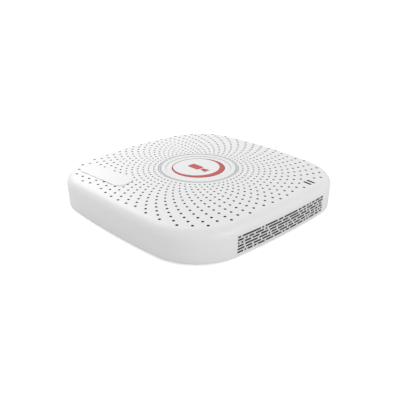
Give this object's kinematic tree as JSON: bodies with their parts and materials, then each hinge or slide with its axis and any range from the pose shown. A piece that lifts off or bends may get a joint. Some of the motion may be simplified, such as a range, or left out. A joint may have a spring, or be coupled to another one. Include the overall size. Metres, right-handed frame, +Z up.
{
  "type": "network video recorder",
  "caption": "Low square white recorder with round corners, dotted crowned top, round emblem disc, side vents, rear socket bay and a hard drive inside.",
  "frame": {"origin": "under the middle of the case, on the surface that its four feet stand on", "axes": "+X to the recorder's right seen from its plain front, +Y to the rear with the sockets, +Z up"},
  "size_m": [0.25, 0.249, 0.0409],
  "materials": {
    "white_shell": "fine matte white moulding",
    "white_gloss": "satin white disc",
    "halo_grey": "grey translucent ring",
    "signal_red": "satin red inlay",
    "smoked_lens": "smoked lens",
    "base_plastic": "fine textured white moulding",
    "panel_black": "fine textured black paint",
    "foot_rubber": "matte black rubber",
    "bright_steel": "zinc plated steel",
    "cast_metal": "bare die casting",
    "black_fins": "black anodised",
    "board_green": "green solder mask",
    "black_plastic": "black moulding",
    "blue_plastic": "blue socket insert",
    "platter_mirror": "polished disc",
    "coil_copper": "enamelled copper",
    "contact_brass": "plain brass",
    "cable_red": "red cable jacket",
    "cable_black": "black cable jacket",
    "light_clear": "clear light",
    "ramp_plastic": "natural plastic"
  },
  "bodies": {
    "case": {"top_cover": "white_shell", "base_plate": "base_plastic", "rubber_feet": "foot_rubber", "case_screws": "bright_steel", "halo_ring": "halo_grey", "centre_disc": "white_gloss", "crescent_inlay": "signal_red", "camera_mark": "signal_red", "name_pad": "white_shell", "status_lenses": "smoked_lens", "indicator_board": "board_green", "indicator_lights": "light_clear", "indicator_ribbon": "cable_black", "ribbon_header": "black_plastic", "rear_panel": "panel_black", "main_board": "board_green", "board_standoffs": "contact_brass", "board_screws": "bright_steel", "vga_socket": "blue_plastic", "hdmi_socket": "bright_steel", "usb_socket": "bright_steel", "lan_jack": "bright_steel", "dc_jack": "black_plastic", "dc_pin": "bright_steel", "rocker_housing": "black_plastic", "processor": "black_plastic", "heat_sink": "black_fins", "memory_chips": "black_plastic", "flash_chip": "black_plastic", "network_transformer": "black_plastic", "clock_crystal": "bright_steel", "power_coils": "black_plastic", "cell_holder": "black_plastic", "coin_cell": "bright_steel", "buzzer": "black_plastic", "capacitors": "cast_metal", "data_socket": "black_plastic", "power_socket": "black_plastic", "data_plugs": "black_plastic", "power_plugs": "black_plastic", "data_cable": "cable_red", "power_cable": "cable_black", "drive_case": "cast_metal", "drive_board": "board_green", "drive_connector": "black_plastic", "drive_lid": "bright_steel", "drive_lid_screws": "bright_steel", "drive_grommets": "foot_rubber", "drive_screws": "bright_steel", "spindle_motor": "bright_steel", "pivot_post": "bright_steel", "magnet_plates": "bright_steel", "parking_ramp": "ramp_plastic"},
    "spindle": {"spindle_hub": "cast_metal", "platters": "platter_mirror", "platter_spacer": "cast_metal", "platter_clamp": "bright_steel"},
    "head_assembly": {"head_arm": "cast_metal", "voice_coil": "coil_copper"},
    "rocker": {"power_rocker": "black_plastic"}
  },
  "joints": [
    {"name": "spindle_turn", "type": "hinge", "parent": "case", "child": "spindle", "pos_m": [-0.0225, -0.0492, 0.02], "axis": [0, 0, 1], "continuous": true},
    {"name": "head_swing", "type": "hinge", "parent": "case", "child": "head_assembly", "pos_m": [0.03256, -0.06395, 0.02], "axis": [0, 0, 1], "range_deg": [0, 33]},
    {"name": "rocker_tilt", "type": "hinge", "parent": "case", "child": "rocker", "pos_m": [0.0575, 0.1176, 0.0173], "axis": [1, 0, 0], "range_deg": [-14, 0]}
  ]
}
